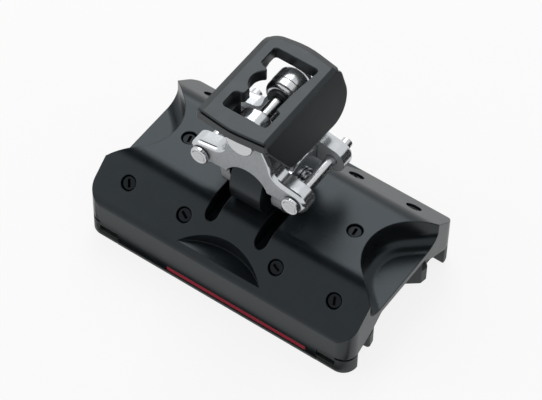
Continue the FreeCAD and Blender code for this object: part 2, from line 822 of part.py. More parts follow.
def boot_slab(low, height):
    """Plain block with the boot's outline from above, bowed at both ends."""
    left = boot_shift - boot_half_width
    right = boot_shift + boot_half_width
    plan = [
        (Vector(right, boot_near_bow - boot_near, low), 0),
        (Vector(right, boot_far - boot_far_bow, low), boot_far_corner),
        (Vector(boot_shift, boot_far, low), boot_bow_radius),
        (Vector(left, boot_far - boot_far_bow, low), boot_far_corner),
        (Vector(left, boot_near_bow - boot_near, low), 0),
        (Vector(boot_shift, -boot_near, low), boot_bow_radius),
    ]
    return slab(plan, UP * height)


def make_boot():
    """Moulded boot: a thick top plate with a window, and a flared flap each side."""
    high = top + boot_top
    low = high - boot_plate
    plate = boot_slab(low, boot_plate)
    crest = [edge for edge in plate.Edges
             if edge.BoundBox.ZMin > high - 0.01 and edge.BoundBox.YMax > boot_near_bow - boot_near + 0.01]
    boot = plate.makeChamfer(boot_bevel, crest)
    groove = boot_slab(high - groove_top - groove_height, groove_height)
    inner = groove.copy()
    inner.translate(ACROSS * groove_depth)
    reach = box(boot_shift - groove_half_width, boot_shift + groove_half_width, -2 * boot_near, 0, low, high)
    boot = boot.cut(groove.cut(inner).common(reach))
    for end in (-1, 1):
        boot = boot.fuse(make_flap(end))
        for side in (-1, 1):
            boot = boot.fuse(make_pad(end, side, high))
    return boot.cut(make_window(low, boot_plate + 1)).removeSplitter()


def make_window(low, height):
    """Cutter for the window, which clears both cheeks and what stands on the main pin."""
    points = [
        (Vector(window_half_width, -window_near, low), window_radius),
        (Vector(window_half_width, -window_step_near, low), window_step_radius),
        (Vector(window_right, 1 - window_step_near, low), 0),
        (Vector(window_half_width, window_far, low), window_radius),
        (Vector(-window_half_width, window_far, low), window_radius),
        (Vector(-window_half_width, window_step_far + 1, low), window_step_radius),
        (Vector(-window_left, window_step_far - 1, low), window_step_radius),
        (Vector(-window_left, -window_step_near, low), window_step_radius),
        (Vector(-window_half_width, -window_step_near - 1, low), window_step_radius),
        (Vector(-window_half_width, -window_near, low), window_radius),
    ]
    return slab(points, UP * height).fuse(rod(notch_radius, height, Vector(notch_x, notch_y, low), UP))


def make_pad(end, side, high):
    """Pad inside the boot, seated against the side of a cheek."""
    outer = boot_half_width - pad_inset + end * boot_shift
    pad = box(cheek_radius + soft_gap, outer, plate_inner, plate_outer, main_z - pad_drop, high - boot_bevel)
    if end < 0:
        pad = mirrored(pad, ALONG)
    if side < 0:
        pad = mirrored(pad, ACROSS)
    return pad


def make_flap(end):
    """Side flap: a rounded D seen from the side, leaning out towards its foot."""
    high = top + boot_top - boot_bevel
    outer = boot_shift + end * boot_half_width
    profile = [
        (Vector(outer, -flap_near_top, high), 0),
        (Vector(outer, -flap_near_top, top + flap_near_knee), flap_near_knee_radius),
        (Vector(outer, -flap_near_foot, top + flap_near_height), flap_near_radius),
        (Vector(outer, flap_far_foot, top + flap_far_height), flap_far_radius),
        (Vector(outer, flap_far_top, high), flap_far_top_radius),
    ]
    flap = slab(profile, ALONG * -end * flap_thickness)
    flap.rotate(Vector(outer, 0, high), ACROSS, -end * flap_angle)
    return flap


def save(name, shape):
    """Write one part, after checking that it is sound."""
    if not shape.isValid():
        raise RuntimeError(name + " is not a sound solid")
    shape.exportStep("parts/" + name + ".step")
    print(name, len(shape.Solids), round(shape.Volume, 1))


def main():
    os.makedirs("parts", exist_ok=True)
    save("car_body", make_body())
    save("side_stripe", make_stripe())
    for side, side_name in ((-1, "near"), (1, "far")):
        for end, end_name in ((-1, "left"), (1, "right")):
            save("end_cap_" + side_name + "_" + end_name, make_cap(end, side))
        save("balls_" + side_name, make_balls(side))
        save("ball_rail_upper_" + side_name, make_rail(side, True))
        save("ball_rail_lower_" + side_name, make_rail(side, False))
    save("cap_screws", make_cap_screws())
    screws = screw_places()
    save("flank_screws_near", Part.makeCompound([make_screw(*place) for place in screws if place[1] < 0]))
    save("flank_screws_far", Part.makeCompound([make_screw(*place) for place in screws if place[1] > 0]))
    save("centre_screws", Part.makeCompound([make_screw(*place) for place in screws if place[1] == 0]))
    save("toggle_axle", make_axle())
    save("axle_clip", make_axle_clip())
    save("axle_lock_screw", make_lock_screw())
    save("toggle", make_toggle())
    for end, end_name in ((-1, "left"), (1, "right")):
        save("axle_bush_" + end_name, make_bush(end))
        save("clevis_pin_" + end_name, make_clevis_pin(end * arm_span))
        save("clevis_washer_" + end_name, make_clevis_washer(end * arm_span))
        save("split_ring_" + end_name, make_ring(end * arm_span))
    save("main_pin", make_main_pin())
    save("main_washer", make_collar(main_washer_radius, main_radius, -plate_outer - main_washer, main_washer))
    save("main_nut", make_nut())
    save("spacer_far", make_bell(1, spacer_far, spacer_far_radius, spacer_far_tip))
    save("spacer_near", make_bell(-1, spacer_near, spacer_near_radius, spacer_near_tip))
    washer_start = plate_inner - spacer_far - spacer_washer
    save("spacer_washer", make_collar(spacer_washer_radius, main_radius, washer_start, spacer_washer))
    save("boot", make_boot())


main()
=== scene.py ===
"""Track car with a tilting toggle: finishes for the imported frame, finer metal pieces and a finer boot."""

import math

import bmesh
import bpy
from bpy.props import FloatProperty, FloatVectorProperty, PointerProperty
from mathutils import Matrix, Vector


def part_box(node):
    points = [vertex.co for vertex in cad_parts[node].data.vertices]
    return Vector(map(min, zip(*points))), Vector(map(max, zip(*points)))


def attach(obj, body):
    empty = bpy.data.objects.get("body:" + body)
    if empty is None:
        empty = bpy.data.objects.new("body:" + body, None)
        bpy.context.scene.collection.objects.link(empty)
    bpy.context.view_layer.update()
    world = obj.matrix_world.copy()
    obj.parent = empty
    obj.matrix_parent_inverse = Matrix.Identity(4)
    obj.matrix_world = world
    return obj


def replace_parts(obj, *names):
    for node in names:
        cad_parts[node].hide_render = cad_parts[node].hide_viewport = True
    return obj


bl_info = {
    "name": "Track car with a tilting toggle",
    "version": (1, 0, 0),
    "blender": (4, 5, 0),
    "location": "View3D > Sidebar > Track Car",
    "description": "Finishes a sailing track car and builds its toggle, pins, screws, rings and boot",
    "category": "Mesh",
}

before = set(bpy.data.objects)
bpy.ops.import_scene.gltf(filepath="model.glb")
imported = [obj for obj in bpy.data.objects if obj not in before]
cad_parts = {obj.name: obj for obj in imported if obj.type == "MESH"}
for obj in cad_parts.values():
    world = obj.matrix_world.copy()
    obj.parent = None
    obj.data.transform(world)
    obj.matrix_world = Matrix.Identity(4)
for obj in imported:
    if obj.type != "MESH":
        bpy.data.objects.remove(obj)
MM = 0.001


def middle_of(node):
    """Middle of a CAD node at rest, in millimetres."""
    low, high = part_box(node)
    return [round((a + b) / 2 / MM, 2) for a, b in zip(low, high)]


# Heights and places are in millimetres.
AXLE_Z = middle_of("toggle_axle")[2]
ARM_X = middle_of("clevis_pin_right")[0]
ARM_Z = middle_of("clevis_pin_right")[2]
MAIN_Z = middle_of("main_pin")[2]
TOP_Z = AXLE_Z - 21     # flat top of the body
EDGE_Z = TOP_Z + 29.2   # lower edge of the toggle's plates

# How an outline stands: flat, on edge with its depth across the car, and on edge with its depth along it.
UPRIGHT = Matrix.Identity(3)
ACROSS = Matrix(((1, 0, 0), (0, 0, 1), (0, 1, 0)))
ALONG = Matrix(((0, 0, 1), (1, 0, 0), (0, 1, 0)))

# Stage, in metres. Cards and mats are dark and show only in gloss. Each has a size, a place and a turn
# about Y in degrees.
FLOOR_SIZE = (12, 12)
CARDS = (("mat_near", (1.6, 0.006), (0, -0.069, 0.002), 0),
         ("mat_right", (0.9, 1.5), (0.6, 0.2, 0.004), 0),
         ("card_right", (0.6, 1.2), (1.0, 0.55, 0.32), 90))
LAMPS = (("key", (0.75, 1.5), (-0.56, 0.84, 1.34)),
         ("fill", (0.7, 0.7), (-1.2, -0.9, 0.9)))
LAMP_AIM = Vector((0, 0, 0.06))
CAMERA_RIGHT = Vector((0.8179, 0.57519, 0.01377))
CAMERA_UP = Vector((-0.46078, 0.64052, 0.61434))
CAMERA_BACK = Vector((0.34455, -0.50882, 0.78892))

# Slotted screws, in millimetres, and the turn of each slot in degrees, in order along the track.
SCREW_HEAD = 4
SCREW_HEAD_RADIUS = 5.3
SCREW_RIM = 1.0
SCREW_SHANK_RADIUS = 3
SLOT_WIDTH = 2.0
SLOT_LENGTH = 6.0
SLOT_DEPTH = 3.4
SLOT_TURNS = {"flank_screws_near": (29, 60, 67, 20),
              "flank_screws_far": (10, 75, 40, 120),
              "centre_screws": (15, 8)}

# Toggle casting, in millimetres.
LEG_MIDDLE = 20.5       # middle of a leg from the middle of the car
LEG_HALF = 4.7
LEG_TOP = TOP_Z + 42.5
LEG_REACH = 25.3        # half the width of a leg at its top
FOOT_RADIUS = 24
DRUM_HALF = 15.8        # room for the drum between the legs
DRUM_RADIUS = 32.3
BUSH_BORE = 10
ARCH_RADIUS = 17.3      # cut-out over the drum in each plate
ARCH_Z = TOP_Z + 26.5
MAIN_BORE = 4.95
CLEVIS_BORE = 4.05
HIP_Z = EDGE_Z + 6.1    # a leg has its full width from here up
NECK_HALF = 21.2        # half the width between the necks of the arms
NECK_Z = TOP_Z + 48.6
NECK_RADIUS = 10
ARM_ROOT = 9            # from the clevis pin in to the foot of the arm
WAIST_HALF = 18.6
WAIST_Z = TOP_Z + 60.5
CHEEK_FOOT = 9.3        # from the main pin down to the foot of the cheek
WEB_HALF = 19.5
WEB_TOP = TOP_Z + 60
WEB_CORNER = 6
WEB_SINK = 0.5          # how far the web goes into each plate
THROUGH = 60            # half the length of a cut that goes right through

# Pins, in millimetres.
MAIN_RADIUS = 4.9
MAIN_HEAD = 5.6
MAIN_HEAD_RADIUS = 10.5
BELLS = {"spacer_far": (13.0, 9.0), "spacer_near": (10.5, 8.0)}   # radius at the plate and at the tip
SPACER_GAP = 0.03       # between a spacer and its plate
CLEVIS_RADIUS = 4
CLEVIS_HEAD = 3
CLEVIS_HEAD_RADIUS = 6.8
DISH_DEPTH = 0.3
DISH_RIM = 1.6          # from the edge of the head in to the dish
DISH_FOOT = 2.1         # from the edge of the head in to the flat of the dish
CROSS_HOLE = 1.6
CROSS_HOLE_BACK = 4.6   # from the tip of the pin
RING_TURNS = 1.85
RING_START = 0.2        # half turns from the right
RING_STEPS = 96

# Boot, in millimetres.
BOOT_MIDDLE = -1.4      # along the track
BOOT_HALF = 28.0
BOOT_LEFT = BOOT_MIDDLE - BOOT_HALF
BOOT_RIGHT = BOOT_MIDDLE + BOOT_HALF
BOOT_NEAR = (-44.9, -47.9)      # near end of the top plate, at its corners and in its middle
BOOT_FAR = (38.6, 43.4, 38.4)   # far end, at the left, in the middle and at the right
BOOT_THICK = 9.4
FLAPS = ((-1, 15, (-1,)), (1, 8, (-1, 1)))     # side, radius at the far corner, and sides of its pads
FLAP_NEAR = -44.6
FLAP_FAR = 40.0
FLAP_EDGE = ((FLAP_NEAR, 97, 3), (-24.3, 63.4, 10), (47, 59.3, 19))    # free edge, heights over the body
FLAP_SINK = 0.03        # how far a flap goes into the side of the top plate
GROOVE_TOP = 1.2        # below the top of the boot
GROOVE_FOOT = 3.0
GROOVE_DEPTH = 1.6
FLAP_LEVELS = [(0, 1), (0.12, 0.62), (0.45, 0.3), (0.95, 0.1),
               (1.6, 0), (4.2, 0), (4.7, 0.15), (5, 0.5)]
PAD_INNER = (13.5, 17)          # corners of the blocks inside the flaps
PAD_OUTER = (26, 29.2)
PAD_HEIGHTS = (-0.5, -5)        # foot from the main pin, and top from the top of the boot
WINDOW_NEAR = -32.9
WINDOW_FAR = 27.3
WINDOW_HALF = 17.3
WINDOW_WAIST = 10.6
BAY = (-4.1, -2.4, 11.3)        # middle and radius of the round bay in the window's left side

# Colours of patches and worn edges, a painted shade for creases and sharp edges, and tints of the gloss.
BARE_ALUMINIUM = (0.10, 0.105, 0.11)
SMUDGED_BLACK = (0.014, 0.016, 0.018)
CLOUDED_STEEL = (0.36, 0.37, 0.38)
# Painted shade, laid into creases and along sharp edges of the casting and the turned metal.
PAINTED_CREASE_SHADE = (0.03, 0.033, 0.036)
ANODISED_GLOSS = (0.8, 0.93, 1, 1)
MOULDED_GLOSS = (0.86, 0.95, 1, 1)


def colour(name, description, default):
    """Colour setting."""
    return FloatVectorProperty(name=name, description=description, default=default,
                               subtype="COLOR", size=3, min=0, max=1)


def length(name, description, default):
    """Length setting, in metres."""
    return FloatProperty(name=name, description=description, default=default,
                         min=0, unit="LENGTH", precision=5)


def share(name, description, default):
    """Setting between 0 and 1."""
    return FloatProperty(name=name, description=description, default=default,
                         min=0, max=1, subtype="FACTOR")


def power(name, description, default):
    """Power of a lamp, in watts."""
    return FloatProperty(name=name, description=description, default=default, min=0, unit="POWER")


def position(name, description, default):
    """Place in the scene, in metres."""
    return FloatVectorProperty(name=name, description=description, default=default,
                               subtype="TRANSLATION", unit="LENGTH")


class StageSettings(bpy.types.PropertyGroup):
    """Floor, lamps, card overhead and camera."""

    floor_colour: colour("Floor colour", "Colour of the floor under the car", (0.96, 0.96, 0.96))
    key_power: power("Key lamp", "Power of the large lamp overhead", 9.5)
    fill_power: power("Fill lamp", "Power of the lamp at the side", 3.0)
    ambient: share("Ambient", "Light from all round", 0.5)
    paper_white: share("Paper white", "How far the floor is taken to white where it is seen", 0.84)
    card_size: FloatVectorProperty(name="Card", description="Size of the dark card overhead",
                                   default=(2.4, 0.62), size=2, min=0.01, unit="LENGTH")
    card_place: position("Card place", "Where the dark card hangs", (-0.35, -0.13, 1.0))
    camera_place: position("Camera place", "Where the camera stands", (0.61151, -0.90272, 1.44514))
    focal_length: FloatProperty(name="Focal length", description="Camera lens in millimetres",
                                default=171.49, min=1, unit="CAMERA")


class BodySettings(bpy.types.PropertyGroup):
    """Machined body, line, mouldings and balls."""

    anodised: colour("Anodised black", "Colour of the machined body", (0.0045, 0.006, 0.0075))
    gloss: share("Body roughness", "Roughness of the anodised surface", 0.29)
    moulded: colour("Moulded black", "Colour of the end caps and rails", (0.016, 0.018, 0.018))
    line: colour("Line", "Colour of the line let into the side", (0.36, 0.03, 0.05))
    ball: colour("Balls", "Colour of the balls", (0.62, 0.58, 0.47))


class MetalSettings(bpy.types.PropertyGroup):
    """Toggle, pins, screws and rings."""

    casting: colour("Casting", "Colour of the toggle casting", (0.50, 0.52, 0.54))
    polished: colour("Polished steel", "Colour of the pins and rings", (0.56, 0.57, 0.585))
    tumbled: share("Tumbled roughness", "Roughness of the casting's flat faces", 0.46)
    rims: share("Rim roughness", "Roughness of the casting's polished rims", 0.18)
    blackened: colour("Blackened steel", "Colour of the slotted screws", (0.014, 0.016, 0.018))
    wire: length("Ring wire", "Thickness of the split rings' wire", 0.0008)


class ToggleSettings(bpy.types.PropertyGroup):
    """Toggle casting."""

    width: length("Width", "Width over the two plates", 0.0586)
    plate: length("Plate", "Thickness of a plate", 0.0124)
    bevel: length("Rim bevel", "Polished bevel round the outer face of a plate", 0.0023)
    arm_span: length("Arm", "Clevis pin from the middle", 0.037)
    ear: length("Ear", "Radius of the round end of an arm", 0.010)
    cheek: length("Cheek", "Radius of the round head about the main pin", 0.0132)


class BootSettings(bpy.types.PropertyGroup):
    """Moulded boot."""

    shoulder: length("Shoulder", "Width of the sloping band along the sides of the top", 0.0042)
    shoulder_drop: length("Shoulder drop", "How far the band falls to the side of the boot", 0.0028)
    lean: FloatProperty(name="Lean", description="How far each flap leans out", default=math.radians(9.9),
                        min=0, max=math.radians(30), subtype="ANGLE")
    rubber: colour("Boot colour", "Colour of the moulded boot", (0.008, 0.0095, 0.011))
    satin: share("Boot roughness", "Roughness of the moulding", 0.42)


class Signal:
    """Output of a node. Arithmetic on it adds Math nodes."""

    def __init__(self, tree, socket):
        self.tree = tree
        self.socket = socket

    def __add__(self, other):
        return self.tree.maths("ADD", self, other)

    def __sub__(self, other):
        return self.tree.maths("SUBTRACT", self, other)

    def __rsub__(self, other):
        return self.tree.maths("SUBTRACT", other, self)

    def __mul__(self, other):
        return self.tree.maths("MULTIPLY", self, other)

    __radd__ = __add__
    __rmul__ = __mul__


class Tree:
    """Node tree of a material or of the world."""

    def __init__(self, owner):
        owner.use_nodes = True
        self.nodes = owner.node_tree.nodes
        self.links = owner.node_tree.links
        self.nodes.clear()

    def node(self, kind, settings=None, sockets=None, output=0):
        """Add a node, with its settings first and then the values or links of its sockets."""
        made = self.nodes.new(kind)
        for name, value in (settings or {}).items():
            setattr(made, name, value)
        for key, value in (sockets or {}).items():
            if isinstance(value, Signal):
                self.links.new(value.socket, made.inputs[key])
            elif made.inputs[key].type == "RGBA" and len(value) == 3:
                made.inputs[key].default_value = (*value, 1)
            else:
                made.inputs[key].default_value = value
        return Signal(self, made.outputs[output]) if len(made.outputs) else made

    def maths(self, operation, *values):
        """Math node on values and signals."""
        return self.node("ShaderNodeMath", {"operation": operation}, dict(enumerate(values)))

    def ease(self, value, low, high):
        """Smooth step from 0 at low to 1 at high."""
        return self.node("ShaderNodeMapRange", {"interpolation_type": "SMOOTHSTEP"},
                         {"Value": value, "From Min": low, "From Max": high})

    def blend(self, amount, first, second):
        """Mix of two colours."""
        sockets = {"Factor": amount, 6: first, 7: second}
        return self.node("ShaderNodeMix", {"data_type": "RGBA"}, sockets, 2)

    def vector(self, operation, first, sockets=None, output=0):
        """Vector Math node."""
        sockets = {0: first, **(sockets or {})}
        return self.node("ShaderNodeVectorMath", {"operation": operation}, sockets, output)

    def place(self, stretch=(1, 1, 1)):
        """Position on the piece in millimetres, stretched along each axis."""
        spot = self.node("ShaderNodeTexCoord", output="Object")
        return self.vector("MULTIPLY", spot, {1: [1000 * s for s in stretch]})

    def noise(self, size, detail=2, rough=0.5, stretch=(1, 1, 1)):
        """Soft noise with features of a size in millimetres."""
        return self.node("ShaderNodeTexNoise", {},
                         {"Vector": self.place(stretch), "Scale": 1 / size, "Detail": detail,
                          "Roughness": rough})

    def seen(self):
        """1 for rays from the camera and from reflections, 0 for light on the object."""
        straight, gloss, clear = (self.node("ShaderNodeLightPath", output=ray)
                                  for ray in ("Is Camera Ray", "Is Glossy Ray", "Is Transmission Ray"))
        return self.maths("MAXIMUM", straight, self.maths("MAXIMUM", gloss, clear))

    def rounded(self, radius):
        """Normal with sharp edges softened over a radius in millimetres."""
        return self.node("ShaderNodeBevel", {"samples": 6}, {"Radius": radius * MM})

    def edges(self, radius, low=0.01, high=0.12):
        """1 along sharp edges, 0 on open faces."""
        plain = self.node("ShaderNodeNewGeometry", output="Normal")
        together = self.vector("DOT_PRODUCT", self.rounded(radius), {1: plain}, "Value")
        return self.ease(1 - together, low, high)

    def creases(self, reach):
        """1 deep in a crease, 0 on open faces, seen over a reach in millimetres."""
        open_share = self.node("ShaderNodeAmbientOcclusion", {"samples": 6}, {"Distance": reach * MM}, 1)
        return self.ease(1 - open_share, 0.12, 0.6)

    def facing(self, axis):
        """How squarely the surface faces along an axis of its own piece, from 0 to 1."""
        normal = self.node("ShaderNodeNewGeometry", output="Normal")
        settings = {"vector_type": "NORMAL", "convert_from": "WORLD", "convert_to": "OBJECT"}
        own = self.node("ShaderNodeVectorTransform", settings, {0: normal})
        parts = self.node("ShaderNodeSeparateXYZ", {}, {0: own}, "XYZ"[axis])
        return self.maths("ABSOLUTE", parts)

    def bump(self, height, depth, normal=None, strength=1.0):
        """Bump from a height signal, with its depth in millimetres."""
        sockets = {"Height": height, "Distance": depth * MM, "Strength": strength}
        if normal is not None:
            sockets["Normal"] = normal
        return self.node("ShaderNodeBump", {}, sockets)


class Finish(Tree):
    """Material with one main shader."""

    def __init__(self, name):
        self.material = bpy.data.materials.new(name)
        super().__init__(self.material)

    def surface(self, sockets):
        """Close the material with its shader."""
        shader = self.node("ShaderNodeBsdfPrincipled", {}, sockets)
        self.node("ShaderNodeOutputMaterial", {}, {"Surface": shader})
        return self.material


def dress(material, *names):
    """Give CAD nodes a material."""
    for name in names:
        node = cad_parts[name]
        if not node.material_slots:
            node.data.materials.append(material)
        for slot in node.material_slots:
            slot.material = material


def like(*starts):
    """Names of the CAD nodes that begin with any of these words."""
    return [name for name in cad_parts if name.startswith(starts)]


def anodised_finish(settings):
    """Hard anodised aluminium: satin black, faint machining, edges slightly bare."""
    f = Finish("anodised_black")
    worn = f.edges(0.5) * f.ease(f.noise(9, 3, 0.6), 0.42, 0.75)
    smudge = f.noise(14, 4, 0.55)
    fine = f.noise(0.35, 2, 0.6)
    tint = f.blend(worn * 0.5, settings.anodised, BARE_ALUMINIUM)
    tint = f.blend(f.ease(smudge, 0.35, 0.8) * 0.25, tint, SMUDGED_BLACK)
    rough = settings.gloss + (smudge - 0.5) * 0.08 + (fine - 0.5) * 0.05
    normal = f.bump(fine, 0.006, f.rounded(0.9))
    return f.surface({"Base Color": tint, "Roughness": rough, "Normal": normal, "IOR": 1.45,
                      "Specular IOR Level": 0.42, "Specular Tint": ANODISED_GLOSS})


def moulded_finish(name, tint, roughness, grain=0.28, depth=0.02, gloss=0.42):
    """Moulded plastic with a fine stippled skin, paler in random patches, with a painted highlight along
    its edges.
    """
    f = Finish(name)
    skin = f.noise(grain, 3, 0.7)
    patch = f.noise(11, 3, 0.5)
    rough = roughness + (patch - 0.5) * 0.12
    edge_highlight_and_patch_pale = [min(1, 1.9 * c + 0.012) for c in tint]
    # Painted highlight: paler along edges. Paler in random patches too, as the plastic's own tone.
    shade = f.blend(f.edges(0.4) * 0.6 + f.ease(patch, 0.45, 0.8) * 0.25, tint, edge_highlight_and_patch_pale)
    normal = f.bump(skin, depth, f.rounded(0.25))
    return f.surface({"Base Color": shade, "Roughness": rough, "Normal": normal,
                      "Specular IOR Level": gloss, "Specular Tint": MOULDED_GLOSS})


def casting_finish(settings):
    """Investment casting: flat faces matte, bevels and rims polished, with painted shade in its creases and
    along its sharp edges.
    """
    f = Finish("tumbled_casting")
    matte = f.ease(f.facing(1), 0.93, 0.985)
    pits = f.noise(0.45, 4, 0.7)
    cloud = f.noise(7, 3, 0.5)
    rough = settings.rims + matte * (settings.tumbled - settings.rims) + (cloud - 0.5) * 0.1
    dull = [0.8 * c for c in settings.casting]
    tint = f.blend(matte, [1.15 * c for c in settings.casting], dull)
    tint = f.blend(f.ease(cloud, 0.5, 0.85) * 0.2, tint, CLOUDED_STEEL)
    speckle = f.ease(f.noise(0.8, 3, 0.75), 0.42, 0.62) * matte
    tint = f.blend(speckle * 0.45, tint, [0.5 * c for c in dull])
    # Painted shade: darker in creases, found by occlusion, and along sharp edges.
    lines = f.maths("MAXIMUM", f.creases(1.4) * 0.85, f.edges(0.7, 0.02, 0.14) * 0.6)
    tint = f.blend(lines, tint, PAINTED_CREASE_SHADE)
    soft = f.noise(5, 2, 0.4)
    normal = f.bump(pits * matte * 0.04 + soft * 0.02, 1.0, f.rounded(0.4))
    return f.surface({"Base Color": tint, "Metallic": 0.9 - matte * 0.4, "Roughness": rough,
                      "Normal": normal})


def turned_finish(name, tint, roughness, axis):
    """Turned metal: faint rings round its axis, scuffs, and painted shade in its creases."""
    f = Finish(name)
    stretch = [1, 1, 1]
    stretch[axis] = 8
    lines = f.noise(1.32, 3, 0.6, stretch)
    scuff = f.noise(3, 4, 0.65)
    rough = roughness + (lines - 0.5) * 0.06 + f.ease(scuff, 0.55, 0.8) * 0.08
    shade = f.blend(f.ease(scuff, 0.5, 0.9) * 0.3, tint, [0.7 * c for c in tint])
    # Painted shade in creases, found by occlusion.
    shade = f.blend(f.creases(1.4) * 0.8, shade, PAINTED_CREASE_SHADE)
    return f.surface({"Base Color": shade, "Metallic": 1.0, "Roughness": rough,
                      "Normal": f.bump(lines, 0.004, f.rounded(0.3))})


def line_finish(settings):
    """Coloured line, slightly scuffed."""
    f = Finish("side_line")
    scuff = f.noise(1.2, 4, 0.65, (0.3, 1, 1))
    tint = f.blend(f.ease(scuff, 0.5, 0.85) * 0.4, settings.line, [0.55 * c for c in settings.line])
    return f.surface({"Base Color": tint, "Roughness": 0.34 + (scuff - 0.5) * 0.2,
                      "Normal": f.bump(scuff, 0.01), "Specular IOR Level": 0.25})


def ball_finish(settings):
    """Polished plastic balls, with faint cloudiness."""
    f = Finish("bearing_ball")
    cloud = f.noise(2.4, 3, 0.55)
    tint = f.blend(f.ease(cloud, 0.4, 0.8) * 0.35, settings.ball, [0.8 * c for c in settings.ball])
    return f.surface({"Base Color": tint, "Roughness": 0.2 + (cloud - 0.5) * 0.12, "Coat Weight": 0.2})


def as_object(name, mesh):
    """Turn a bmesh into an object of the scene."""
    bmesh.ops.recalc_face_normals(mesh, faces=mesh.faces)
    data = bpy.data.meshes.new(name)
    mesh.to_mesh(data)
    mesh.free()
    made = bpy.data.objects.new(name, data)
    bpy.context.collection.objects.link(made)
    return made


def sheet_object(name, size):
    """Flat sheet, facing up."""
    mesh = bmesh.new()
    bmesh.ops.create_grid(mesh, x_segments=8, y_segments=8, size=0.5)
    bmesh.ops.scale(mesh, vec=(size[0], size[1], 1), verts=mesh.verts)
    return as_object(name, mesh)


def arcs(points, step=8):
    """Closed outline through points (x, y, corner radius), with each corner drawn as an arc."""
    made = []
    for i, (x, y, radius) in enumerate(points):
        here = Vector((x, y))
        before = (Vector(points[i - 1][:2]) - here).normalized()
        after = (Vector(points[(i + 1) % len(points)][:2]) - here).normalized()
        drawn = [here]
        if radius > 0:
            half = before.angle(after) / 2
            centre = here + (before + after).normalized() * (radius / math.sin(half))
            spoke = here + before * (radius / math.tan(half)) - centre
            side = 1 if before.y * after.x - before.x * after.y > 0 else -1
            count = max(1, round(math.degrees(math.pi - 2 * half) / step))
            drawn = [centre + Matrix.Rotation(side * (math.pi - 2 * half) * k / count, 2) @ spoke
                     for k in range(count + 1)]
        made += [point for point in drawn if not made or (point - made[-1]).length > 1e-3]
    return made


def drawn_in(outline, reach, part):
    """Outline drawn in by a part of its reach towards (low x, high x, low y, high y)."""
    made = []
    for i, here in enumerate(outline):
        before = (here - outline[i - 1]).normalized()
        after = (outline[(i + 1) % len(outline)] - here).normalized()
        first = Vector((before.y, -before.x))
        second = Vector((after.y, -after.x))
        out = (first + second) / (1 + first.dot(second))
        made.append(here - part * Vector((out.x * reach[out.x > 0], out.y * reach[2 + (out.y > 0)])))
    return made


def skin(mesh, rings, ends=True):
    """Faces between rings of points, with both ends closed, or else the last ring joined to the first."""
    for first, second in zip(rings, rings[1:] if ends else rings[1:] + rings[:1]):
        for k in range(len(first)):
            after = (k + 1) % len(first)
            mesh.faces.new((first[k], first[after], second[after], second[k]))
    if ends:
        mesh.faces.new(rings[0][::-1])
        mesh.faces.new(rings[-1])


def prism(name, outline, levels, reach=(0, 0, 0, 0), turn=UPRIGHT):
    """Solid from an outline, drawn in by a part of its reach at each level, in millimetres."""
    mesh = bmesh.new()
    skin(mesh, [[mesh.verts.new(turn @ Vector((point.x, point.y, along)) * MM)
                 for point in drawn_in(outline, reach, part)] for along, part in levels])
    return as_object(name, mesh)


def lathe(name, section, centre, axis=1, sides=72):
    """Solid turned about an axis from a closed section of points (along, radius), in millimetres."""
    mesh = bmesh.new()
    across = [i for i in range(3) if i != axis]
    rings = []
    for point in section:
        ring = []
        for k in range(sides):
            angle = 2 * math.pi * k / sides
            spot = Vector(centre)
            spot[axis] += point.x
            spot[across[0]] += point.y * math.cos(angle)
            spot[across[1]] += point.y * math.sin(angle)
            ring.append(mesh.verts.new(spot * MM))
        rings.append(ring)
    skin(mesh, rings, ends=False)
    bmesh.ops.remove_doubles(mesh, verts=mesh.verts, dist=1e-7)
    return as_object(name, mesh)


def bar(start, end, radius):
    """Section of a plain round bar, for lathe."""
    return [Vector((start, 0)), Vector((end, 0)), Vector((end, radius)), Vector((start, radius))]


def block(name, first, last, flip=(1, 1, 1)):
    """Block between two corners, in millimetres, mirrored where flip is -1."""
    mesh = bmesh.new()
    bmesh.ops.create_cube(mesh, size=1)
    for vert in mesh.verts:
        corner = zip(first, last, vert.co, flip)
        vert.co = [(a + (b - a) * (c + 0.5)) * side * MM for a, b, c, side in corner]
    return as_object(name, mesh)


def seats(node):
    """Foot, direction and length of each loose solid of a CAD node, in order along the track."""
    mesh = bmesh.new()
    mesh.from_mesh(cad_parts[node].data)
    bmesh.ops.remove_doubles(mesh, verts=mesh.verts, dist=1e-6)
    found, known = [], set()
    for start in mesh.verts:
        if start in known:
            continue
        known.add(start)
        solid = [start]
        for vert in solid:
            for other in (edge.other_vert(vert) for edge in vert.link_edges):
                if other not in known:
                    known.add(other)
                    solid.append(other)
        upper = [face for vert in solid for face in vert.link_faces if face.normal.z > 0.5]
        along = max(upper, key=lambda face: face.calc_area()).normal.copy()
        heights = [vert.co.dot(along) for vert in solid]
        foot = [vert.co for vert, height in zip(solid, heights) if height < min(heights) + 1e-6]
        found.append((sum(foot, Vector()) / len(foot), along, max(heights) - min(heights)))
    mesh.free()
    return sorted(found, key=lambda seat: seat[0].x)


def settle(made, place):
    """Put an object in its place by moving its mesh."""
    made.data.transform(place)
    return made


def slotted_screw(name, seat, turn):
    """Screw with a short slot and a wide rim, on its seat, with its slot turned by some degrees."""
    foot, along, tall = seat
    tall /= MM
    under = tall - SCREW_HEAD
    slot_end = SLOT_LENGTH / 2
    section = [(0, 0, 0), (tall, 0, 0), (tall, SCREW_HEAD_RADIUS, SCREW_RIM),
               (under, SCREW_HEAD_RADIUS, 0), (under, SCREW_SHANK_RADIUS, 0), (0, SCREW_SHANK_RADIUS, 0)]
    screw = lathe(name, arcs(section, 15), (0, 0, 0), 2, 64)
    slot = block("slot", (-SLOT_WIDTH / 2, -slot_end, tall - SLOT_DEPTH),
                 (SLOT_WIDTH / 2, slot_end, tall + 1))
    east = Vector((1, 0, 0))
    lean = Matrix((east, along.cross(east), along)).transposed().to_4x4()
    place = Matrix.Translation(foot) @ lean @ Matrix.Rotation(math.radians(turn), 4, "Z")
    return settle(combine(screw, "DIFFERENCE", slot), place)


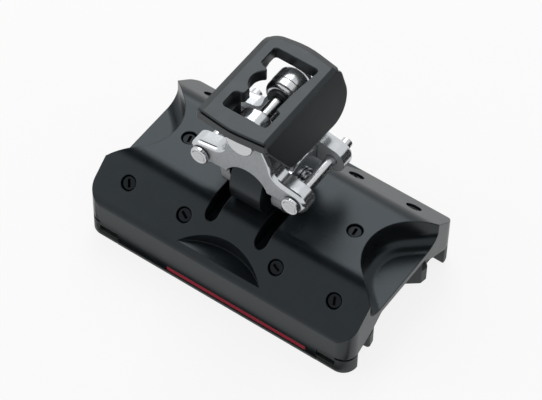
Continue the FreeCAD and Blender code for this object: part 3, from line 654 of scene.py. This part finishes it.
def rim_levels(bevel, soft, outer, inner):
    """Levels of a plate with a bevelled outer rim, softened at both corners of the bevel."""
    section = arcs([(0, 3 * bevel, 0), (0, bevel, 3 * soft), (bevel, 0, 3 * soft), (3 * bevel, 0, 0)], 9)
    section = [point for point in section if point.x < 3 * bevel and point.y < 3 * bevel]
    return [(outer - point.x, point.y / bevel) for point in section] + [(inner, 0)]


def touching(x, z, centre_x, centre_z, radius, turn):
    """Slope of the line from a point that just touches a circle."""
    gap = math.hypot(centre_x - x, centre_z - z)
    return math.tan(math.atan2(centre_z - z, centre_x - x) + turn * math.asin(radius / gap))


def plate_outline(sizes):
    """Outline of a toggle plate, seen along the pins: ears on the arms, necks, hips and a round cheek."""
    span, ear, cheek = sizes.arm_span / MM, sizes.ear / MM, sizes.cheek / MM
    root = span - ARM_ROOT
    under = touching(root, EDGE_Z, span, ARM_Z, ear, -1)
    over = touching(NECK_HALF, NECK_Z, span, ARM_Z, ear, 1)
    tip = span + ear
    half = [(root, EDGE_Z, 4), (tip, EDGE_Z + (tip - root) * under, ear),
            (tip, NECK_Z + (tip - NECK_HALF) * over, ear), (NECK_HALF, NECK_Z, NECK_RADIUS),
            (WAIST_HALF, WAIST_Z, 12), (cheek, MAIN_Z - CHEEK_FOOT, 6), (cheek, MAIN_Z + cheek, cheek)]
    return half + [(-x, z, radius) for x, z, radius in reversed(half)]


def combine(base, operation, *others):
    """Join solids to a base, or cut them from it."""
    for other in others:
        change = base.modifiers.new("combine", "BOOLEAN")
        change.operation = operation
        change.solver = "EXACT"
        change.object = other
    bpy.context.view_layer.update()
    graph = bpy.context.evaluated_depsgraph_get()
    result = bpy.data.meshes.new_from_object(base.evaluated_get(graph))
    base.modifiers.clear()
    base.data = result
    for other in others:
        bpy.data.objects.remove(other)
    return base


def joined(parts):
    """One solid from several, joined one after another."""
    whole = parts[0]
    for part in parts[1:]:
        whole = combine(whole, "UNION", part)
    return whole


def smooth(made, angle=28, even=True):
    """Smooth shading between sharp edges."""
    made.data.shade_smooth()
    made.data.set_sharp_from_angle(angle=math.radians(angle))
    if even:
        made.modifiers.new("even_normals", "WEIGHTED_NORMAL").keep_sharp = True
    return made


def fit(made, material, body, node):
    """Put a finished piece on its body, in place of a CAD node."""
    made.data.materials.clear()
    made.data.materials.append(material)
    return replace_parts(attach(made, body), node)


def boot_plan():
    """Outline of the boot's top plate, seen from above."""
    near, near_middle = BOOT_NEAR
    far_left, far_middle, far_right = BOOT_FAR
    return arcs([(BOOT_LEFT, near, 1.2), (BOOT_MIDDLE, near_middle, 62), (BOOT_RIGHT, near, 3),
                 (BOOT_RIGHT, far_right, 4), (BOOT_MIDDLE, far_middle, 60), (BOOT_LEFT, far_left, 13)], 5)


def boot_top(settings, plan, top):
    """Thick top plate of the boot, with a shoulder that slopes to its sides."""
    drop = settings.shoulder_drop / MM
    wide = settings.shoulder / MM
    levels = [(top, 1.0), (top - 0.05, 0.93), (top - 0.22, 0.84)]
    levels += [(top - 0.22 - (drop - 0.75) * k / 4, 0.84 - 0.66 * k / 4) for k in range(1, 5)]
    levels += [(top - drop + 0.25, 0.09), (top - drop - 0.1, 0.025), (top - drop - 0.6, 0),
               (top - BOOT_THICK, 0)]
    return prism("moulded_boot", plan, levels, (wide * 1.33, wide * 0.9, 1.0, wide * 1.45))


def boot_groove(plan, top):
    """Cutter for the groove under the top plate's near end, which runs out at the left."""
    left, right = BOOT_LEFT - 2, BOOT_RIGHT + 2
    around = arcs([(left, -50, 0), (right, -50, 0), (right, -30, 0), (left, -30, 0)])
    groove = prism("groove", around, [(top - GROOVE_TOP, 0), (top - GROOVE_FOOT, 0)])
    core = prism("core", [point + Vector((0, GROOVE_DEPTH)) for point in plan],
                 [(top - 0.6, 0), (top - 3.6, 0)])
    left, right = BOOT_LEFT - 1, BOOT_MIDDLE + 26
    kept = arcs([(left, -52, 1), (right, -52, 1), (right, -40, 1), (left, -40, 1)])
    kept = prism("kept", kept, [(top - 0.5, 0), (top - 4, 0)])
    return combine(combine(groove, "DIFFERENCE", core), "INTERSECT", kept)


def boot_flap(settings, top, end, corner):
    """Flap that leans out from the top plate, at its left where end is -1 and at its right where 1."""
    rim = top - settings.shoulder_drop / MM
    flap = arcs([(FLAP_NEAR, rim, 0), *[(y, TOP_Z + z, radius) for y, z, radius in FLAP_EDGE],
                 (FLAP_FAR, rim, corner)], 5)
    hung = [point - Vector((0, rim)) for point in flap]
    lean = Matrix.Rotation(-end * settings.lean, 3, "Y")
    sheet = Matrix(((0, 0, -end), (1, 0, 0), (0, 1, 0)))
    piece = prism("flap", hung, FLAP_LEVELS, (1.7, 1.7, 1.7, 0), lean @ sheet)
    spot = Vector((BOOT_MIDDLE + end * (BOOT_HALF - FLAP_SINK), 0, rim))
    return settle(piece, Matrix.Translation(spot * MM))


def boot_window(top):
    """Cutters for the window in the top plate, and for the round bay in its left side."""
    near, far, side, waist = WINDOW_NEAR, WINDOW_FAR, WINDOW_HALF, WINDOW_WAIST
    window = arcs([(side, near, 2.5), (side, -17.6, 1.5), (13.6, -16.6, 1.2), (14.2, 0, 0),
                   (side, far, 2.5), (-side, far, 2.5), (-side, 11, 2.2), (-waist, 9, 2.2),
                   (-waist, -17.6, 3), (-side, -18.6, 3), (-side, near, 2.5)], 10)
    x, y, radius = BAY
    bay = arcs([(x + radius * math.cos(angle), y + radius * math.sin(angle), 0)
                for angle in [2 * math.pi * k / 60 for k in range(60)]])
    flare = [(top - 9.5, 0), (top - 1.0, 0), (top - 0.5, -0.3), (top - 0.12, -0.8), (top + 1, -1.4)]
    cuts = {"window": window, "bay": bay}
    return [prism(name, outline, flare, (0.7,) * 4) for name, outline in cuts.items()]


def wire_along(name, points, radius, sides=14):
    """Round wire along points, with closed ends, in metres."""
    mesh = bmesh.new()
    circle = [Vector((radius * math.cos(angle), radius * math.sin(angle), 0))
              for angle in [2 * math.pi * k / sides for k in range(sides)]]
    rings = []
    for i, point in enumerate(points):
        ahead = points[min(i + 1, len(points) - 1)] - points[max(i - 1, 0)]
        turn = ahead.to_track_quat("Z", "X").to_matrix()
        rings.append([mesh.verts.new(point + turn @ spoke) for spoke in circle])
    skin(mesh, rings)
    made = as_object(name, mesh)
    made.data.shade_smooth()
    return made


class TRACKCAR_OT_stage(bpy.types.Operator):
    """Make the floor, the studio light and the camera"""

    bl_idname = "trackcar.stage"
    bl_label = "Stage"

    def execute(self, context):
        settings = context.scene.trackcar_stage
        floor = sheet_object("floor", FLOOR_SIZE)
        paper = Finish("floor_paper")
        fibre = paper.noise(2.0, 3, 0.6)
        matt = paper.node("ShaderNodeBsdfPrincipled", {}, {
            "Base Color": paper.blend(fibre * 0.04, settings.floor_colour, (0.9, 0.9, 0.9)),
            "Roughness": 0.9, "Specular IOR Level": 0.1})
        white = paper.node("ShaderNodeEmission", {}, {"Color": (1, 1, 1), "Strength": 1.0})
        whitened = paper.seen() * settings.paper_white
        both = paper.node("ShaderNodeMixShader", {}, {0: whitened, 1: matt, 2: white})
        paper.node("ShaderNodeOutputMaterial", {}, {"Surface": both})
        floor.data.materials.append(paper.material)

        cloth = Finish("flag_cloth")
        cloth.surface({"Base Color": (0.004, 0.004, 0.004), "Roughness": 1.0, "Specular IOR Level": 0.0})
        overhead = ("card_overhead", settings.card_size, settings.card_place, 0)
        for name, size, spot, tilt in (overhead, *CARDS):
            card = sheet_object(name, size)
            card.location = spot
            card.rotation_euler.y = math.radians(tilt)
            card.data.materials.append(cloth.material)
            for ray in ("camera", "diffuse", "transmission", "shadow"):
                setattr(card, "visible_" + ray, False)

        world = bpy.data.worlds.new("studio")
        context.scene.world = world
        sky = Tree(world)
        strength = settings.ambient + sky.seen() * (1 - settings.ambient)
        glow = sky.node("ShaderNodeBackground", {}, {"Color": (1, 1, 1), "Strength": strength})
        sky.node("ShaderNodeOutputWorld", {}, {"Surface": glow})

        for name, size, spot in LAMPS:
            lamp = bpy.data.lights.new(name, "AREA")
            lamp.energy = getattr(settings, name + "_power")
            lamp.shape = "RECTANGLE"
            lamp.size, lamp.size_y = size
            holder = bpy.data.objects.new(name, lamp)
            holder.location = spot
            holder.rotation_euler = (LAMP_AIM - holder.location).to_track_quat("-Z", "Y").to_euler()
            context.collection.objects.link(holder)

        camera = bpy.data.objects.new("camera", bpy.data.cameras.new("camera"))
        camera.data.sensor_width = 36
        camera.data.lens = settings.focal_length
        camera.data.clip_start = 0.05
        turn = Matrix((CAMERA_RIGHT, CAMERA_UP, CAMERA_BACK)).transposed().to_4x4()
        camera.matrix_world = Matrix.Translation(settings.camera_place) @ turn
        context.collection.objects.link(camera)
        context.scene.camera = camera
        context.scene.view_settings.view_transform = "Standard"
        return {"FINISHED"}


class TRACKCAR_OT_body(bpy.types.Operator):
    """Finish the machined body and the line in its side"""

    bl_idname = "trackcar.body"
    bl_label = "Body"

    def execute(self, context):
        settings = context.scene.trackcar_body
        dress(anodised_finish(settings), "car_body")
        dress(line_finish(settings), "side_stripe")
        return {"FINISHED"}


class TRACKCAR_OT_mouldings(bpy.types.Operator):
    """Finish the end caps, rails, bushes and washers"""

    bl_idname = "trackcar.mouldings"
    bl_label = "Mouldings"

    def execute(self, context):
        settings = context.scene.trackcar_body
        dress(moulded_finish("moulded_black", settings.moulded, 0.5), *like("end_cap", "ball_rail"))
        dress(moulded_finish("washer_black", settings.moulded, 0.42, 0.2, 0.008),
              *like("axle_bush", "clevis_washer", "main_washer", "spacer_washer"))
        return {"FINISHED"}


class TRACKCAR_OT_balls(bpy.types.Operator):
    """Finish the rows of balls"""

    bl_idname = "trackcar.balls"
    bl_label = "Balls"

    def execute(self, context):
        dress(ball_finish(context.scene.trackcar_body), *like("balls"))
        return {"FINISHED"}


class TRACKCAR_OT_screws(bpy.types.Operator):
    """Make the slotted screws, and finish the others"""

    bl_idname = "trackcar.screws"
    bl_label = "Screws"

    def execute(self, context):
        settings = context.scene.trackcar_metal
        black = turned_finish("blackened_screw", settings.blackened, 0.34, 2)
        for node, turns in SLOT_TURNS.items():
            screws = [slotted_screw("slotted_" + node, seat, turn)
                      for seat, turn in zip(seats(node), turns)]
            fit(smooth(joined(screws)), black, "car", node)
        dress(turned_finish("bright_screw", settings.casting, 0.26, 2), "cap_screws", "axle_lock_screw")
        return {"FINISHED"}


class TRACKCAR_OT_toggle(bpy.types.Operator):
    """Cast the toggle: two plates with arms and cheeks, joined by legs and a web over the drum"""

    bl_idname = "trackcar.toggle"
    bl_label = "Toggle"

    def execute(self, context):
        sizes = context.scene.trackcar_toggle
        outline = arcs(plate_outline(sizes))
        outer = sizes.width / 2 / MM
        inner = outer - sizes.plate / MM
        bevel = sizes.bevel / MM
        levels = rim_levels(bevel, 1.0, outer, inner)
        parts = []
        for side in (-1, 1):
            facing = Matrix(((1, 0, 0), (0, 0, side), (0, 1, 0)))
            parts.append(prism("toggle_casting", outline, levels, (bevel,) * 4, facing))
        leg = arcs([(-LEG_REACH, HIP_Z, 0), (-FOOT_RADIUS, AXLE_Z, 0), (FOOT_RADIUS, AXLE_Z, 0),
                    (LEG_REACH, HIP_Z, 0), (LEG_REACH, LEG_TOP, 3), (-LEG_REACH, LEG_TOP, 3)])
        for middle in (-LEG_MIDDLE, LEG_MIDDLE):
            low, high = middle - LEG_HALF, middle + LEG_HALF
            parts.append(prism("leg", leg, [(low, 0), (high, 0)], turn=ALONG))
            foot = arcs([(low, 0, 0), (high, 0, 0), (high, FOOT_RADIUS, 0.8), (low, FOOT_RADIUS, 0.8)])
            parts.append(lathe("foot", foot, (0, 0, AXLE_Z), 0, 96))
        web = arcs([(-WEB_HALF, EDGE_Z, 0), (WEB_HALF, EDGE_Z, 0), (WEB_HALF, WEB_TOP - 8, WEB_CORNER),
                    (WEB_HALF - WEB_CORNER, WEB_TOP, WEB_CORNER),
                    (WEB_CORNER - WEB_HALF, WEB_TOP, WEB_CORNER), (-WEB_HALF, WEB_TOP - 8, WEB_CORNER)])
        parts.append(prism("web", web, [(-inner - WEB_SINK, 0), (inner + WEB_SINK, 0)], turn=ACROSS))
        bores = [lathe("drum_room", bar(-DRUM_HALF, DRUM_HALF, DRUM_RADIUS), (0, 0, AXLE_Z), 0, 128),
                 lathe("bush_bore", bar(-THROUGH, THROUGH, BUSH_BORE), (0, 0, AXLE_Z), 0, 64),
                 lathe("arch", bar(-THROUGH, THROUGH, ARCH_RADIUS), (0, 0, ARCH_Z), 1, 128),
                 lathe("main_bore", bar(-THROUGH, THROUGH, MAIN_BORE), (0, 0, MAIN_Z), 1, 48)]
        bores += [lathe("clevis_bore", bar(-THROUGH, THROUGH, CLEVIS_BORE), (x, 0, ARM_Z), 1, 48)
                  for x in (-ARM_X, ARM_X)]
        whole = smooth(combine(joined(parts), "DIFFERENCE", *bores), 32, False)
        fit(whole, casting_finish(context.scene.trackcar_metal), "toggle", "toggle")
        return {"FINISHED"}


class TRACKCAR_OT_pins(bpy.types.Operator):
    """Turn the main pin, its spacers and the clevis pins, and finish the nut and the axle"""

    bl_idname = "trackcar.pins"
    bl_label = "Pins"

    def execute(self, context):
        settings = context.scene.trackcar_metal
        polished = turned_finish("polished_pin", settings.polished, 0.25, 1)
        dress(polished, "main_nut")
        dress(turned_finish("polished_axle", settings.polished, 0.2, 0), "toggle_axle", "axle_clip")
        low, high = (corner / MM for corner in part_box("main_pin"))
        under = low.y + MAIN_HEAD
        stem = [(low.y, 0, 0), (high.y, 0, 0), (high.y, MAIN_RADIUS, 1), (under, MAIN_RADIUS, 0.5),
                (under, MAIN_HEAD_RADIUS, 0.5), (low.y, MAIN_HEAD_RADIUS, 1.2)]
        pin = lathe("polished_main_pin", arcs(stem, 15), (0, 0, MAIN_Z))
        fit(smooth(pin), polished, "main_pin", "main_pin")
        for node, (radius, tip) in BELLS.items():
            low, high = (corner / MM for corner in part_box(node))
            wide, narrow = (high.y, low.y) if high.y > 0 else (low.y, high.y)
            curve = min(radius - tip, abs(wide - narrow) - 0.4)
            wide -= math.copysign(SPACER_GAP, wide)
            bell = [(wide, MAIN_RADIUS, 0), (narrow, MAIN_RADIUS, 0), (narrow, radius, curve),
                    (wide, radius, 0.4)]
            made = lathe("polished_" + node, arcs(bell, 6), (0, 0, MAIN_Z), 1, 96)
            fit(smooth(made), polished, "main_pin", node)
        for side in ("left", "right"):
            low, high = (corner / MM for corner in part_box("clevis_pin_" + side))
            middle = (low.x + high.x) / 2
            under, dish = low.y + CLEVIS_HEAD, low.y + DISH_DEPTH
            stem = [(dish, 0, 0), (high.y, 0, 0), (high.y, CLEVIS_RADIUS, 0.9),
                    (under, CLEVIS_RADIUS, 0.4), (under, CLEVIS_HEAD_RADIUS, 0.4),
                    (low.y, CLEVIS_HEAD_RADIUS, 0.9),
                    (low.y, CLEVIS_HEAD_RADIUS - DISH_RIM, 0.2),
                    (dish, CLEVIS_HEAD_RADIUS - DISH_FOOT, 0.2)]
            pin = lathe("polished_clevis_" + side, arcs(stem, 15), (middle, 0, ARM_Z))
            spot = (middle, high.y - CROSS_HOLE_BACK, ARM_Z)
            hole = lathe("cross_hole", bar(-9, 9, CROSS_HOLE), spot, 0, 24)
            pin = smooth(combine(pin, "DIFFERENCE", hole))
            fit(pin, polished, "clevis_" + side, "clevis_pin_" + side)
        return {"FINISHED"}


class TRACKCAR_OT_rings(bpy.types.Operator):
    """Wind the split rings, two turns of wire each"""

    bl_idname = "trackcar.rings"
    bl_label = "Split rings"

    def execute(self, context):
        settings = context.scene.trackcar_metal
        steel = turned_finish("ring_wire", settings.polished, 0.12, 1)
        for side in ("left", "right"):
            node = "split_ring_" + side
            low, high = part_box(node)
            centre = (low + high) / 2
            wire = settings.wire / 2
            reach = (high.z - low.z) / 2 - wire
            points = []
            for i in range(RING_STEPS + 1):
                angle = math.pi * RING_START + 2 * math.pi * RING_TURNS * i / RING_STEPS
                y = (high.y - low.y - 2 * wire) * (i / RING_STEPS - 0.5)
                points.append(centre + Vector((reach * math.cos(angle), y, reach * math.sin(angle))))
            ring = wire_along("wire_ring_" + side, points, wire)
            fit(ring, steel, "ring_" + side, node)
        return {"FINISHED"}


class TRACKCAR_OT_boot(bpy.types.Operator):
    """Mould the boot: a thick top plate with a window, a groove and lip at its near end, and two flaps"""

    bl_idname = "trackcar.boot"
    bl_label = "Boot"

    def execute(self, context):
        settings = context.scene.trackcar_boot
        top = (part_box("boot")[1] / MM).z
        plan = boot_plan()
        boot = combine(boot_top(settings, plan, top), "DIFFERENCE", boot_groove(plan, top))
        foot, roof = MAIN_Z + PAD_HEIGHTS[0], top + PAD_HEIGHTS[1]
        for end, corner, pads in FLAPS:
            boot = combine(boot, "UNION", boot_flap(settings, top, end, corner))
            for side in pads:
                outer = (PAD_OUTER[0] + end * BOOT_MIDDLE, PAD_OUTER[1], roof)
                pad = block("pad", (*PAD_INNER, foot), outer, (end, side, 1))
                boot = combine(boot, "UNION", pad)
        boot = smooth(combine(boot, "DIFFERENCE", *boot_window(top)), 24)
        rubber = moulded_finish("boot_rubber", settings.rubber, settings.satin, 0.3, 0.01, 0.55)
        fit(boot, rubber, "toggle", "boot")
        return {"FINISHED"}


class TRACKCAR_PT_pieces(bpy.types.Panel):
    """Pieces of the track car"""

    bl_label = "Track Car"
    bl_idname = "TRACKCAR_PT_pieces"
    bl_space_type = "VIEW_3D"
    bl_region_type = "UI"
    bl_category = "Track Car"

    def draw(self, context):
        for operator in OPERATORS:
            self.layout.operator(operator.bl_idname)


SETTINGS = {"stage": StageSettings, "body": BodySettings, "metal": MetalSettings,
            "toggle": ToggleSettings, "boot": BootSettings}
OPERATORS = (TRACKCAR_OT_stage, TRACKCAR_OT_body, TRACKCAR_OT_mouldings, TRACKCAR_OT_balls,
             TRACKCAR_OT_screws, TRACKCAR_OT_toggle, TRACKCAR_OT_pins, TRACKCAR_OT_rings,
             TRACKCAR_OT_boot)
CLASSES = (*SETTINGS.values(), *OPERATORS, TRACKCAR_PT_pieces)


def register():
    """Add the settings, operators and panel."""
    for part in CLASSES:
        bpy.utils.register_class(part)
    for name, group in SETTINGS.items():
        setattr(bpy.types.Scene, "trackcar_" + name, PointerProperty(type=group))


def unregister():
    """Take them away again."""
    for name in SETTINGS:
        delattr(bpy.types.Scene, "trackcar_" + name)
    for part in reversed(CLASSES):
        bpy.utils.unregister_class(part)


def main():
    """Make every piece."""
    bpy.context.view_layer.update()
    register()
    for operator in OPERATORS:
        getattr(bpy.ops.trackcar, operator.bl_idname.split(".")[1])()


if __name__ == "__main__":
    main()
